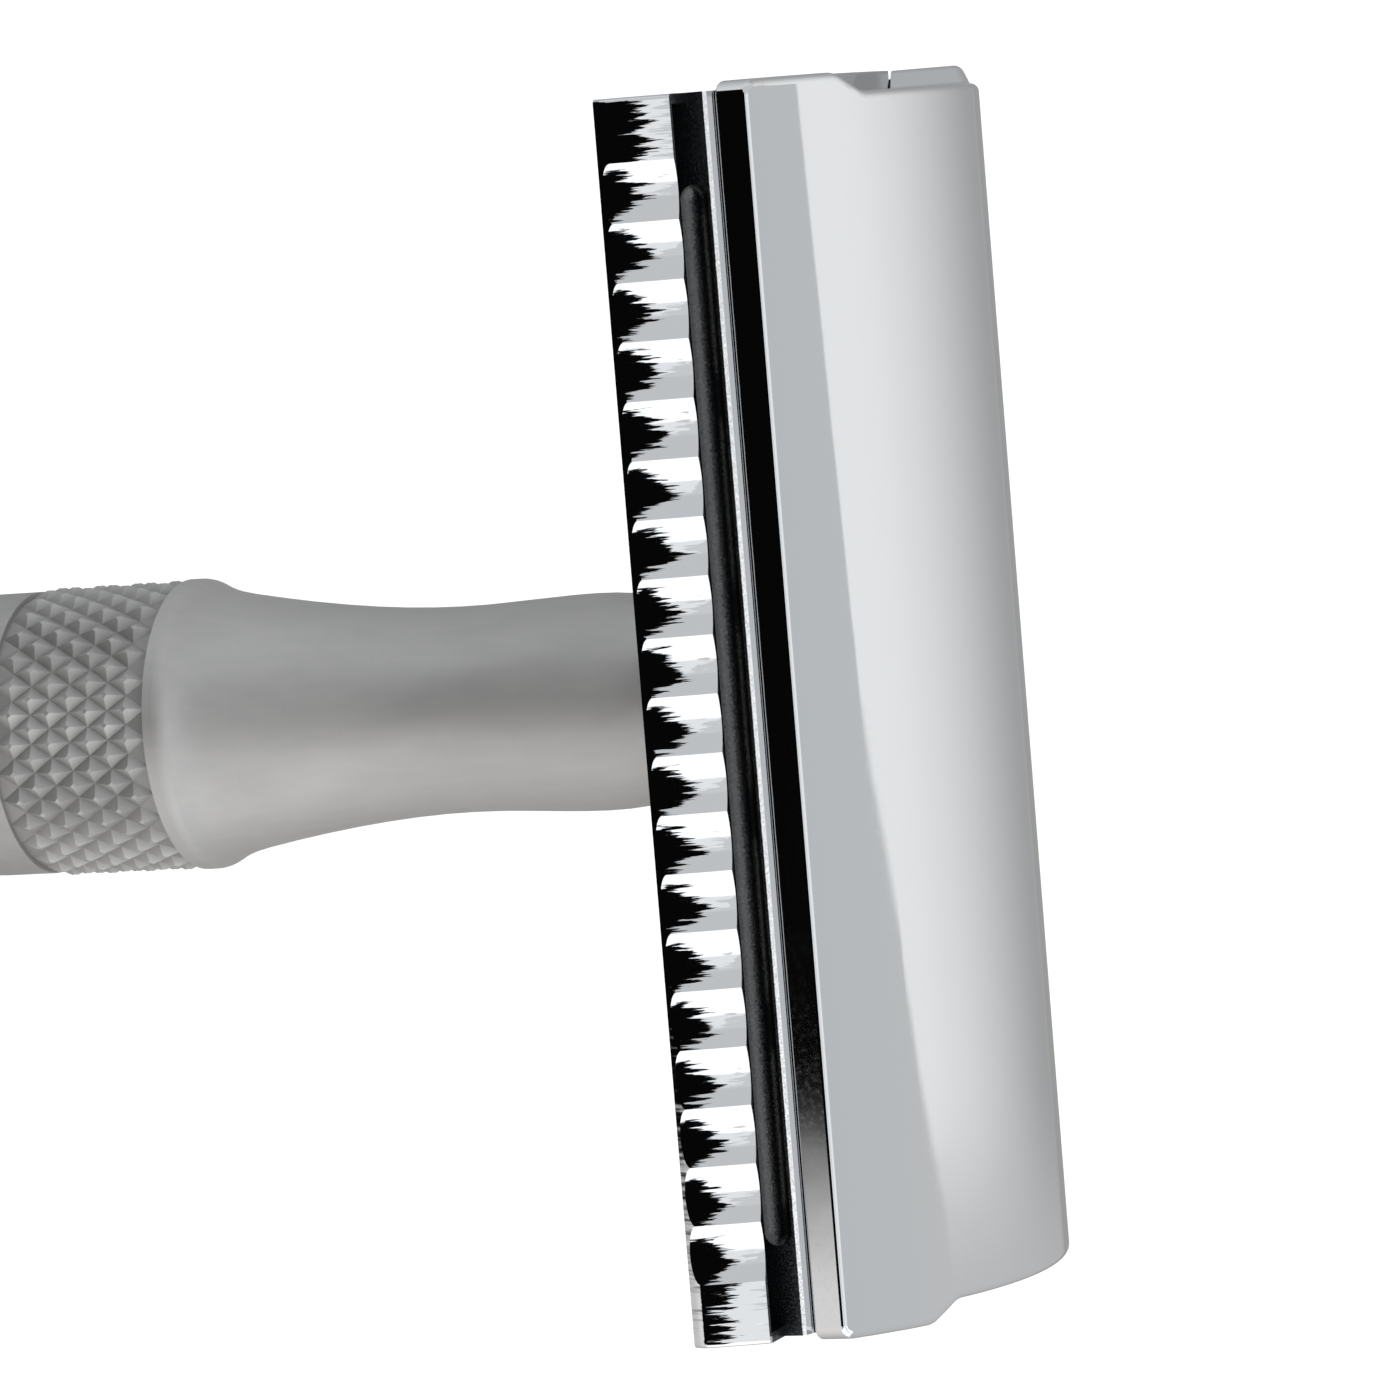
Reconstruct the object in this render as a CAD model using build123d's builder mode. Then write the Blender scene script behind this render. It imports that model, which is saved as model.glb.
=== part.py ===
"""Double-edge safety razor that opens by a twist knob, without its blade, in millimetres.

X runs along the edges of the head, Y across it, +Z from the knob to the cap. The origin is the
centre of the flat face under the knob, on which the razor stands. Turning the knob turns
a spindle inside the handle, whose threaded socket draws the cap's stud down or lets it rise.
"""

import os
from math import atan2, cos, hypot, radians, sin, sqrt

from build123d import *

# Cap, sized to take a standard double-edge blade, 43 mm long over its tabs
cap_length = 43.0
cap_width = 19.9
cap_rim_height = 1.1
cap_rim_round = 0.06          # lower edge of the rim
cap_dome_height = 4.5         # upper edge of the rim to the crown
cap_edge_round = 0.3
cap_corner_round = 0.5
seat_radius = 32.0            # curve on which the cap bends a blade
ear_width = 2.95              # each corner ear, at its end
notch_slant = 1.05
notch_depth = 0.7
notch_round = 0.7

# Base plate, with depths measured down from the upper edge of the cap's rim
plate_length = 42.4
plate_thickness = 2.6
plate_tab_span = 43.0         # over the two end tabs, which lie in the cap's notches
plate_tab_width = 12.6
plate_tab_thickness = 1.4
shelf_half_width = 10.4
shelf_edge_bevel = 0.08
channel_floor_half_width = 11.3
channel_end_wall = 0.35
channel_depth = 3.1
ridge_half_width = 11.95
ridge_depth = 2.0
ridge_land = 0.2
bar_half_width = 12.66
bar_face_depth = 4.2
bar_face_crown = 0.05         # outward bulge of the polished face
bar_foot_half_width = 12.45
bar_inner_half_width = 10.6
plate_depth = 4.55
relief_radius = 0.6           # lather relief along the shelf's side
relief_cut = 0.25             # how far the relief cuts into the side
relief_depth = 1.95
relief_length = 36.4
drain_slot_length = 5.6
drain_slot_width = 0.6
drain_slot_pitch = 7.2
drain_slots = 5
hub_wall = 0.5
hub_overlap = 0.5             # how far the hub runs up into the plate

# Scallops and rounds of each safety bar
scallop_count = 19
scallop_pitch = 2.0
scallop_radius = 3.0
scallop_depth = 0.18
scallop_reach = 9.0           # degrees that the cut sweeps each way from the face's middle
bar_foot_round = 0.4
bar_end_round = 0.15

# Guide pins and threaded stud of the cap
pin_diameter = 3.0
pin_spacing = 29.0
pin_seat = 1.6
pin_reach = 4.2               # below the upper edge of the rim
pin_lead_in = 0.4
stud_diameter = 3.9
stud_seat = 2.0
stud_reach = 11.5             # below the upper edge of the rim
thread_pitch = 0.7
thread_height = 0.35
thread_rise = 0.4             # shares of the pitch: each sloping flank, and the flat root and crest
thread_flat = 0.1

# Neck
neck_length = 21.65
neck_top_radius = 4.7
waist_radius = 3.7
waist_share = 0.49            # of the neck's length, measured from the plate
neck_land_length = 0.7
neck_land_radius = 5.27
shoulder_round = 1.0
neck_spigot_length = 1.4
neck_spigot_radius = 3.9
neck_tail_length = 9.0
tail_radius = 4.0
# Points of the neck's curve, as (share of the height, share of the swell) from its land up
# to the waist, and down from the plate to the waist, with the slopes at its two ends
lower_neck_curve = ((0.19, 0.53), (0.47, 0.22))
upper_neck_curve = ((0.52, 0.16),)
land_slope = (-0.85, 1)
flare_slope = (0.45, 1)

# Grip sleeve
grip_radius = 5.3
ring_radius = 5.15
band_length = 6.0
ring_length = 2.0
band_count = 5

# Spindle, bushings and what holds them
rod_radius = 2.0
socket_radius = 2.7
socket_length = 11.0
socket_bore_depth = 9.6
socket_cone = 1.0
spindle_bore_radius = 2.9
upper_bush_radius = 3.3
upper_bush_length = 6.0
lower_bush_length = 6.0
clip_thickness = 0.6
clip_bore_gap = 0.6           # clip to the bore of the grip sleeve
clip_groove_radius = 1.5
clip_opening = 2.6
seal_section = 1.0
thrust_thickness = 0.5
thrust_radius = 4.8
disc_spring_height = 0.5
disc_spring_thickness = 0.25
disc_spring_radius = 4.4

# Knob
knob_length = 14.4
knob_band_margin = 1.5        # plain ring at each end of the knob's knurl
knob_edge_bevel = 0.5
knob_cavity_radius = 3.7
knob_cavity_depth = 4.0
drive_flat = 1.6              # half the distance across the spindle's two flats
drive_shoulder = 1.0          # round bore above the flats
screw_radius = 1.2
screw_length = 5.0
screw_tip_gap = 0.3
screw_head_radius = 2.3
screw_head_height = 1.5
screw_slot = 0.6
lock_washer_radius = 2.5
lock_washer_thickness = 0.5
plug_thickness = 1.6

# Clearances
clamp_gap = 0.02              # cap to plate when closed
slide_gap = 0.08              # pins and stud in their holes
turn_gap = 0.05               # spindle in its bushings, stud in the socket
seat_gap = 0.01               # pieces pressed or screwed together
face_gap = 0.1                # clip to bushing
socket_top_gap = 0.3

cut_margin = 1.0              # how far a cutting shape overruns what it cuts

# Heights that follow from the lengths
knob_top = knob_length
spring_bottom = knob_top + seat_gap
thrust_bottom = spring_bottom + disc_spring_height + seat_gap
grip_bottom = thrust_bottom + thrust_thickness + seat_gap
grip_length = band_count * (band_length + ring_length)
grip_top = grip_bottom + grip_length
plate_bottom = grip_top + neck_length
rim_z = plate_bottom + plate_depth
crown_z = rim_z + cap_dome_height
cap_half_width = cap_width / 2

# One centre of curvature for the cap's seat and the plate's shelf
shelf_radius = seat_radius - clamp_gap
bend_z = rim_z - cap_rim_height - sqrt(seat_radius**2 - cap_half_width**2)
seat_top_z = bend_z + seat_radius
shelf_top_z = bend_z + shelf_radius
socket_top_z = plate_bottom + neck_spigot_length - socket_top_gap
pin_spots = ((-pin_spacing / 2, 0), (pin_spacing / 2, 0))


def arc_z(radius, y):
    """Height of the arc of the given radius about the bend axis, at y."""
    return bend_z + sqrt(radius**2 - y**2)


def turned(*outline):
    """Revolve a closed outline of (radius, height) points about Z into the current part."""
    with BuildSketch(Plane.XZ) as section:
        with BuildLine():
            Polyline(*outline, close=True)
        make_face()
    revolve(section.sketch, axis=Axis.Z)


def turned_ring(inner, outer, bottom, top):
    """A plain ring about Z in the current part."""
    turned((inner, bottom), (outer, bottom), (outer, top), (inner, top))


def cut_round(radius, bottom, top, spots=((0, 0),)):
    """Cut round holes through the current part between two heights."""
    with BuildSketch(Plane.XY.offset(bottom)) as holes:
        with Locations(*spots):
            Circle(radius)
    extrude(holes.sketch, amount=top - bottom, mode=Mode.SUBTRACT)


os.makedirs("parts", exist_ok=True)

# Cap: a dome over a curved seat, trimmed to a plan with a notch in each end
rim_bottom_z = rim_z - cap_rim_height
with BuildPart() as cap:
    with BuildSketch(Plane.YZ):
        with BuildLine():
            Line((cap_half_width, rim_bottom_z), (cap_half_width, rim_z))
            ThreePointArc((cap_half_width, rim_z), (0, crown_z), (-cap_half_width, rim_z))
            Line((-cap_half_width, rim_z), (-cap_half_width, rim_bottom_z))
            ThreePointArc((-cap_half_width, rim_bottom_z), (0, seat_top_z), (cap_half_width, rim_bottom_z))
        make_face()
    extrude(amount=cap_length / 2, both=True)
    ear_y = cap_half_width - ear_width
    notch_x = cap_length / 2 - notch_depth
    with BuildSketch(Plane.XY.offset(rim_bottom_z)) as cap_plan:
        Rectangle(cap_length, cap_width)
        for side in (-1, 1):
            with BuildLine():
                Polyline(
                    (side * notch_x, ear_y - notch_slant),
                    (side * cap_length / 2, ear_y),
                    (side * cap_length / 2, -ear_y),
                    (side * notch_x, notch_slant - ear_y),
                    close=True,
                )
            make_face(mode=Mode.SUBTRACT)
        ear_corners = cap_plan.vertices().filter_by(lambda v: abs(v.Y) > ear_y + seat_gap)
        fillet(ear_corners, radius=cap_corner_round)
        notch_corners = cap_plan.vertices().filter_by(lambda v: abs(v.Y) < ear_y + seat_gap)
        fillet(notch_corners, radius=notch_round)
    extrude(amount=cap_rim_height + cap_dome_height, mode=Mode.INTERSECT)
    dome = cap.faces().sort_by(SortBy.AREA)[-2:].sort_by(Axis.Z)[1]
    fillet(dome.edges(), radius=cap_edge_round)
    seat = cap.faces().sort_by(SortBy.AREA)[-2:].sort_by(Axis.Z)[0]
    fillet(seat.edges(), radius=cap_rim_round)
    cut_round(pin_diameter / 2 + seat_gap, rim_bottom_z, seat_top_z + pin_seat, pin_spots)
    cut_round(stud_diameter / 2 + seat_gap, rim_bottom_z, seat_top_z + stud_seat)
cap.part.label = "cap"
export_step(cap.part, "parts/cap.step")

# Guide pins: two pins pressed into the cap, which locate a blade and slide in the plate
with BuildPart() as guide_pins:
    with BuildSketch(Plane.XY.offset(rim_z - pin_reach)):
        with Locations(*pin_spots):
            Circle(pin_diameter / 2)
    extrude(amount=seat_top_z + pin_seat - seat_gap - (rim_z - pin_reach))
    pin_tips = guide_pins.edges().filter_by(GeomType.CIRCLE).group_by(Axis.Z)[0]
    chamfer(pin_tips, length=pin_lead_in)
guide_pins.part.label = "guide_pins"
export_step(guide_pins.part, "parts/guide_pins.step")

# Threaded stud: thread ridges below a plain shank pressed into the cap
stud_bottom = rim_z - stud_reach
stud_top = seat_top_z + stud_seat - seat_gap
thread_turns = int((plate_bottom - stud_bottom) / thread_pitch)
stud_radius = stud_diameter / 2
thread_root = stud_radius - thread_height
stud_outline = [(0, stud_top), (0, stud_bottom), (thread_root, stud_bottom)]
for turn in range(thread_turns):
    ridge_bottom = stud_bottom + (turn + thread_flat) * thread_pitch
    crest_bottom = ridge_bottom + thread_rise * thread_pitch
    stud_outline.append((thread_root, ridge_bottom))
    stud_outline.append((stud_radius, crest_bottom))
    stud_outline.append((stud_radius, crest_bottom + thread_flat * thread_pitch))
    stud_outline.append((thread_root, stud_bottom + (turn + 1) * thread_pitch))
shank_bottom = stud_bottom + (thread_turns + thread_flat + thread_rise) * thread_pitch
stud_outline.append((stud_radius, shank_bottom))
stud_outline.append((stud_radius, stud_top))
with BuildPart() as threaded_stud:
    turned(*stud_outline)
threaded_stud.part.label = "threaded_stud"
export_step(threaded_stud.part, "parts/threaded_stud.step")

# Base plate: a curved shelf between two channels, each closed by a scalloped safety bar
channel_floor_z = rim_z - channel_depth
bar_low_z = rim_z - bar_face_depth
ridge_z = rim_z - ridge_depth
under_radius = shelf_radius - plate_thickness
shelf_side_z = arc_z(shelf_radius, shelf_half_width)
face_run = bar_half_width - ridge_half_width
face_drop = bar_face_depth - ridge_depth
face_length = hypot(face_run, face_drop)
lean = atan2(face_run, face_drop)
# Centre of the bar face's arc, as a distance inwards from the middle of the face
face_radius = (face_length**2 / 4 + bar_face_crown**2) / (2 * bar_face_crown)
bevel_y = shelf_half_width - shelf_edge_bevel
shelf_edge_z = arc_z(shelf_radius, bevel_y)
under_edge_z = arc_z(under_radius, bar_inner_half_width)
face_middle_y = (ridge_half_width + bar_half_width) / 2 + bar_face_crown * face_drop / face_length
face_middle_z = (ridge_z + bar_low_z) / 2 + bar_face_crown * face_run / face_length


def draw_plate_edge(side):
    """Draw one edge of the plate's section: channel, safety bar and the bar's foot."""
    Polyline(
        (side * bevel_y, shelf_edge_z),
        (side * shelf_half_width, shelf_side_z - shelf_edge_bevel),
        (side * shelf_half_width, channel_floor_z),
        (side * channel_floor_half_width, channel_floor_z),
        (side * (ridge_half_width - ridge_land), ridge_z),
        (side * ridge_half_width, ridge_z),
    )
    ThreePointArc(
        (side * ridge_half_width, ridge_z),
        (side * face_middle_y, face_middle_z),
        (side * bar_half_width, bar_low_z),
    )
    Polyline(
        (side * bar_half_width, bar_low_z),
        (side * bar_foot_half_width, plate_bottom),
        (side * bar_inner_half_width, plate_bottom),
        (side * bar_inner_half_width, under_edge_z),
    )


with BuildPart() as base_plate:
    with BuildSketch(Plane.YZ):
        with BuildLine():
            ThreePointArc((-bevel_y, shelf_edge_z), (0, shelf_top_z), (bevel_y, shelf_edge_z))
            draw_plate_edge(1)
            ThreePointArc(
                (bar_inner_half_width, under_edge_z),
                (0, bend_z + under_radius),
                (-bar_inner_half_width, under_edge_z),
            )
            draw_plate_edge(-1)
        make_face()
    extrude(amount=plate_length / 2, both=True)
    foot_edges = base_plate.edges().filter_by(Axis.X).filter_by(
        lambda edge: abs(edge.center().Z - bar_low_z) < seat_gap
    )
    fillet(foot_edges, radius=bar_foot_round)
    face_ends = base_plate.edges().filter_by(
        lambda edge: abs(edge.center().X) > plate_length / 2 - seat_gap
        and abs(edge.center().Z - face_middle_z) < bar_foot_round
        and abs(edge.center().Y) > ridge_half_width
    )
    fillet(face_ends, radius=bar_end_round)
    # End walls that close the channels
    channel_span = ridge_half_width - ridge_land - shelf_half_width
    channel_y = shelf_half_width + channel_span / 2
    with BuildSketch(Plane.XY.offset(channel_floor_z)):
        with GridLocations(plate_length - channel_end_wall, 2 * channel_y, 2, 2):
            Rectangle(channel_end_wall, channel_span)
    extrude(amount=ridge_z - channel_floor_z)
    # End tabs that carry a blade's tabs
    with BuildSketch(Plane.YZ):
        with BuildLine():
            tab_y = plate_tab_width / 2
            tab_under = shelf_radius - plate_tab_thickness
            Line((-tab_y, arc_z(tab_under, tab_y)), (-tab_y, arc_z(shelf_radius, tab_y)))
            ThreePointArc(
                (-tab_y, arc_z(shelf_radius, tab_y)),
                (0, shelf_top_z),
                (tab_y, arc_z(shelf_radius, tab_y)),
            )
            Line((tab_y, arc_z(shelf_radius, tab_y)), (tab_y, arc_z(tab_under, tab_y)))
            ThreePointArc(
                (tab_y, arc_z(tab_under, tab_y)),
                (0, bend_z + tab_under),
                (-tab_y, arc_z(tab_under, tab_y)),
            )
        make_face()
    extrude(amount=plate_tab_span / 2, both=True)
    # Hub over the neck
    with BuildSketch(Plane.XY.offset(plate_bottom)):
        Circle(neck_top_radius + hub_wall)
    extrude(amount=bend_z + under_radius - plate_bottom + hub_overlap)
    # Lather relief along each side of the shelf
    relief_y = shelf_half_width + relief_radius - relief_cut
    relief_run = relief_length - 2 * relief_radius
    for side in (-1, 1):
        with BuildSketch(Plane.YZ.offset(-relief_run / 2)):
            with Locations((side * relief_y, rim_z - relief_depth)):
                Circle(relief_radius)
        extrude(amount=relief_run, mode=Mode.SUBTRACT)
        with Locations(
            (-relief_run / 2, side * relief_y, rim_z - relief_depth),
            (relief_run / 2, side * relief_y, rim_z - relief_depth),
        ):
            Sphere(relief_radius, mode=Mode.SUBTRACT)
    # Drain slots through the floor of each channel
    drain_y = (shelf_half_width + channel_floor_half_width) / 2
    with BuildSketch(Plane.XY.offset(plate_bottom)):
        for side in (-1, 1):
            with Locations((0, side * drain_y)):
                with GridLocations(drain_slot_pitch, 1, drain_slots, 1):
                    SlotOverall(drain_slot_length, drain_slot_width)
    extrude(amount=channel_floor_z - plate_bottom, mode=Mode.SUBTRACT)
    # Scallops: a row of round grooves that follow the face's arc, cut by one swept comb
    for side in (-1, 1):
        centre_y = side * (face_middle_y - face_radius * cos(lean))
        arc_centre = (0, centre_y, face_middle_z - face_radius * sin(lean))
        start = lean + radians(scallop_reach)
        comb_plane = Plane(arc_centre, x_dir=(1, 0, 0), z_dir=(0, -side * sin(start), cos(start)))
        with BuildSketch(comb_plane) as comb:
            toward = 1 if comb_plane.y_dir.Y * side > 0 else -1
            with Locations((0, toward * (face_radius + scallop_radius - scallop_depth))):
                with GridLocations(scallop_pitch, 1, scallop_count, 1):
                    Circle(scallop_radius)
        comb_axis = Axis(arc_centre, (-side, 0, 0))
        revolve(comb.sketch, axis=comb_axis, revolution_arc=2 * scallop_reach, mode=Mode.SUBTRACT)
    # Holes for the neck's spigot, the stud and the guide pins
    cut_round(neck_spigot_radius + seat_gap, plate_bottom, plate_bottom + neck_spigot_length + seat_gap)
    cut_round(stud_radius + slide_gap, plate_bottom, crown_z)
    cut_round(pin_diameter / 2 + slide_gap, plate_bottom, crown_z, pin_spots)
base_plate.part.label = "base_plate"
export_step(base_plate.part, "parts/base_plate.step")

# Neck: waisted, with a spigot in the plate's hub and a tail in the grip sleeve
waist_z = plate_bottom - waist_share * (neck_length - neck_land_length)
land_z = grip_top + neck_land_length
spigot_top_z = plate_bottom + neck_spigot_length
tail_bottom_z = grip_top - neck_tail_length
upper_bush_bottom_z = spigot_top_z - upper_bush_length
flare_height = plate_bottom - waist_z
swell_height = waist_z - land_z
flare = neck_top_radius - waist_radius
swell = neck_land_radius - waist_radius
lower_curve = [
    (waist_radius + out * swell, land_z + up * swell_height) for up, out in lower_neck_curve
]
upper_curve = [
    (waist_radius + out * flare, plate_bottom - down * flare_height) for down, out in upper_neck_curve
]
with BuildPart() as neck:
    with BuildSketch(Plane.XZ):
        with BuildLine():
            Polyline(
                (spindle_bore_radius, tail_bottom_z),
                (tail_radius, tail_bottom_z),
                (tail_radius, grip_top + seat_gap),
                (neck_land_radius, grip_top + seat_gap),
                (neck_land_radius, land_z),
            )
            Spline(
                (neck_land_radius, land_z),
                *lower_curve,
                (waist_radius, waist_z),
                *upper_curve,
                (neck_top_radius, plate_bottom - seat_gap),
                tangents=(land_slope, flare_slope),
            )
            Polyline(
                (neck_top_radius, plate_bottom - seat_gap),
                (neck_spigot_radius, plate_bottom - seat_gap),
                (neck_spigot_radius, spigot_top_z),
                (upper_bush_radius + seat_gap, spigot_top_z),
                (upper_bush_radius + seat_gap, upper_bush_bottom_z),
                (spindle_bore_radius, upper_bush_bottom_z),
                (spindle_bore_radius, tail_bottom_z),
            )
        make_face()
    revolve(axis=Axis.Z)
    circles = neck.edges().filter_by(GeomType.CIRCLE)
    shoulder = circles.filter_by(lambda edge: abs(edge.center().Z - land_z) < seat_gap)
    fillet(shoulder, radius=shoulder_round)
neck.part.label = "neck"
export_step(neck.part, "parts/neck.step")

# Grip sleeve: bands for the knurl with narrower plain rings between them
sleeve_outline = [(tail_radius + seat_gap, grip_bottom), (ring_radius, grip_bottom)]
for band in range(band_count):
    band_bottom = grip_bottom + ring_length + band * (band_length + ring_length)
    sleeve_outline.append((ring_radius, band_bottom))
    sleeve_outline.append((grip_radius, band_bottom))
    sleeve_outline.append((grip_radius, band_bottom + band_length))
    if band < band_count - 1:
        sleeve_outline.append((ring_radius, band_bottom + band_length))
sleeve_outline.append((tail_radius + seat_gap, grip_top))
with BuildPart() as grip_sleeve:
    turned(*sleeve_outline)
grip_sleeve.part.label = "grip_sleeve"
export_step(grip_sleeve.part, "parts/grip_sleeve.step")

# Upper bushing: guides the spindle's socket under the plate
with BuildPart() as upper_bushing:
    turned_ring(
        socket_radius + turn_gap,
        upper_bush_radius,
        upper_bush_bottom_z + seat_gap,
        spigot_top_z - seat_gap,
    )
upper_bushing.part.label = "upper_bushing"
export_step(upper_bushing.part, "parts/upper_bushing.step")

# Lower bushing: guides the rod, and holds the seal in a pocket at its lower end
lower_bush_top = grip_bottom + lower_bush_length
seal_pocket_top = grip_bottom + seal_section + 2 * seat_gap
seal_outer = rod_radius + turn_gap + seal_section
with BuildPart() as lower_bushing:
    turned(
        (seal_outer + seat_gap, grip_bottom),
        (tail_radius, grip_bottom),
        (tail_radius, lower_bush_top),
        (rod_radius + turn_gap, lower_bush_top),
        (rod_radius + turn_gap, seal_pocket_top),
        (seal_outer + seat_gap, seal_pocket_top),
    )
lower_bushing.part.label = "lower_bushing"
export_step(lower_bushing.part, "parts/lower_bushing.step")

# Seal ring round the rod
with BuildPart() as seal_ring:
    with Locations((0, 0, grip_bottom + seat_gap + seal_section / 2)):
        Torus(rod_radius + turn_gap + seal_section / 2, seal_section / 2)
seal_ring.part.label = "seal_ring"
export_step(seal_ring.part, "parts/seal_ring.step")

# Spindle: socket for the stud at the top, rod, clip groove, two drive flats at the bottom
socket_bottom_z = socket_top_z - socket_length
clip_bottom_z = lower_bush_top + face_gap
spindle_bottom_z = knob_cavity_depth + lock_washer_thickness / 2
drive_top_z = knob_top - drive_shoulder
with BuildPart() as spindle:
    turned(
        (0, spindle_bottom_z),
        (rod_radius, spindle_bottom_z),
        (rod_radius, clip_bottom_z - seat_gap),
        (clip_groove_radius, clip_bottom_z - seat_gap),
        (clip_groove_radius, clip_bottom_z + clip_thickness + seat_gap),
        (rod_radius, clip_bottom_z + clip_thickness + seat_gap),
        (rod_radius, socket_bottom_z - socket_cone),
        (socket_radius, socket_bottom_z),
        (socket_radius, socket_top_z),
        (stud_radius + turn_gap, socket_top_z),
        (stud_radius + turn_gap, socket_top_z - socket_bore_depth),
        (0, socket_top_z - socket_bore_depth),
    )
    with BuildSketch(Plane.XY.offset(spindle_bottom_z)):
        with GridLocations(1, 2 * drive_flat + rod_radius, 1, 2):
            Rectangle(2 * rod_radius, rod_radius)
    extrude(amount=drive_top_z - spindle_bottom_z, mode=Mode.SUBTRACT)
    cut_round(screw_radius, spindle_bottom_z, spindle_bottom_z + screw_length)
spindle.part.label = "spindle"
export_step(spindle.part, "parts/spindle.step")

# Retaining clip: an open ring snapped into the spindle's groove above the lower bushing
clip_radius = tail_radius - clip_bore_gap
with BuildPart() as retaining_clip:
    with BuildSketch(Plane.XY.offset(clip_bottom_z)):
        Circle(clip_radius)
        Circle(clip_groove_radius + seat_gap, mode=Mode.SUBTRACT)
        with Locations((clip_radius / 2, 0)):
            Rectangle(clip_radius + cut_margin, clip_opening, mode=Mode.SUBTRACT)
    extrude(amount=clip_thickness)
retaining_clip.part.label = "retaining_clip"
export_step(retaining_clip.part, "parts/retaining_clip.step")

# Thrust washer under the grip sleeve
with BuildPart() as thrust_washer:
    turned_ring(rod_radius + turn_gap, thrust_radius, thrust_bottom, thrust_bottom + thrust_thickness)
thrust_washer.part.label = "thrust_washer"
export_step(thrust_washer.part, "parts/thrust_washer.step")

# Disc spring on top of the knob: a coned ring that keeps the thread under load
spring_inner = rod_radius + 3 * turn_gap
with BuildPart() as disc_spring:
    turned(
        (spring_inner, spring_bottom),
        (disc_spring_radius, spring_bottom + disc_spring_height - disc_spring_thickness),
        (disc_spring_radius, spring_bottom + disc_spring_height),
        (spring_inner, spring_bottom + disc_spring_thickness),
    )
disc_spring.part.label = "disc_spring"
export_step(disc_spring.part, "parts/disc_spring.step")

# Knob: a band for the knurl between plain rings, a bore for the spindle, a cavity for its screw
knob_inner_bevel = ring_radius - knob_edge_bevel
with BuildPart() as twist_knob:
    turned(
        (0, 0),
        (knob_inner_bevel, 0),
        (ring_radius, knob_edge_bevel),
        (ring_radius, knob_band_margin),
        (grip_radius, knob_band_margin),
        (grip_radius, knob_top - knob_band_margin),
        (ring_radius, knob_top - knob_band_margin),
        (ring_radius, knob_top - knob_edge_bevel),
        (knob_inner_bevel, knob_top),
        (0, knob_top),
    )
    cut_round(knob_cavity_radius, 0, knob_cavity_depth)
    with BuildSketch(Plane.XY.offset(knob_cavity_depth)):
        Circle(rod_radius + seat_gap)
        Rectangle(4 * rod_radius, 2 * (drive_flat + seat_gap), mode=Mode.INTERSECT)
    extrude(amount=drive_top_z - knob_cavity_depth, mode=Mode.SUBTRACT)
    cut_round(rod_radius + seat_gap, drive_top_z - seat_gap, knob_top)
twist_knob.part.label = "twist_knob"
export_step(twist_knob.part, "parts/twist_knob.step")

# Lock washer and screw that hold the knob on the spindle
washer_top = knob_cavity_depth - seat_gap
washer_bottom = washer_top - lock_washer_thickness
with BuildPart() as lock_washer:
    turned_ring(screw_radius + turn_gap, lock_washer_radius, washer_bottom, washer_top)
lock_washer.part.label = "lock_washer"
export_step(lock_washer.part, "parts/lock_washer.step")

screw_head_top = washer_bottom - seat_gap
screw_tip = spindle_bottom_z + screw_length - screw_tip_gap
with BuildPart() as knob_screw:
    turned(
        (0, screw_head_top - screw_head_height),
        (screw_head_radius, screw_head_top - screw_head_height),
        (screw_head_radius, screw_head_top),
        (screw_radius - seat_gap, screw_head_top),
        (screw_radius - seat_gap, screw_tip),
        (0, screw_tip),
    )
    with BuildSketch(Plane.XY.offset(screw_head_top - screw_head_height)):
        Rectangle(3 * screw_head_radius, screw_slot)
    extrude(amount=screw_head_height / 2, mode=Mode.SUBTRACT)
knob_screw.part.label = "knob_screw"
export_step(knob_screw.part, "parts/knob_screw.step")

# Plug that closes the knob's cavity and makes the flat foot
with BuildPart() as knob_plug:
    with BuildSketch(Plane.XY):
        Circle(knob_cavity_radius - seat_gap)
    extrude(amount=plug_thickness)
knob_plug.part.label = "knob_plug"
export_step(knob_plug.part, "parts/knob_plug.step")
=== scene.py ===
"""Looks of the double-edge safety razor: knurled handle, plated head, hidden works, and the studio.

The packed model gives the frame, in metres, with the razor standing on its knob and +Z up.
"""

import math

import bpy
from mathutils import Matrix, Vector


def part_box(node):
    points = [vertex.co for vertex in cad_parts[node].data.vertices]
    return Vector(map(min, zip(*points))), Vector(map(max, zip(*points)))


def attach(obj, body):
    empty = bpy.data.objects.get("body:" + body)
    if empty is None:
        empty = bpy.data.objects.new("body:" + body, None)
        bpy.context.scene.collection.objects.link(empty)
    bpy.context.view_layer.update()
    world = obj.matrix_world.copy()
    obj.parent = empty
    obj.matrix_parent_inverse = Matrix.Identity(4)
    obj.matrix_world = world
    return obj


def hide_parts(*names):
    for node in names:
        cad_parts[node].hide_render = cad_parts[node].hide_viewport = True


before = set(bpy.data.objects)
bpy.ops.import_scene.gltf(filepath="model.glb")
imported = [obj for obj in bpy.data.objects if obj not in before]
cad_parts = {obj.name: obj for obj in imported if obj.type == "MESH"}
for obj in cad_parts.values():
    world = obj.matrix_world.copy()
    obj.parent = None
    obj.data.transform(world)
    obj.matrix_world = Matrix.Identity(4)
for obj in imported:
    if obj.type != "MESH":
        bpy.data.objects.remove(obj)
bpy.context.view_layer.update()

bl_info = {
    "name": "Safety Razor Looks",
    "version": (1, 0, 0),
    "blender": (4, 5, 0),
    "location": "View3D > Sidebar > Razor",
    "description": "Knurls the handle of a safety razor, finishes its metals and sets up a studio",
    "category": "Object",
}

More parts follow.
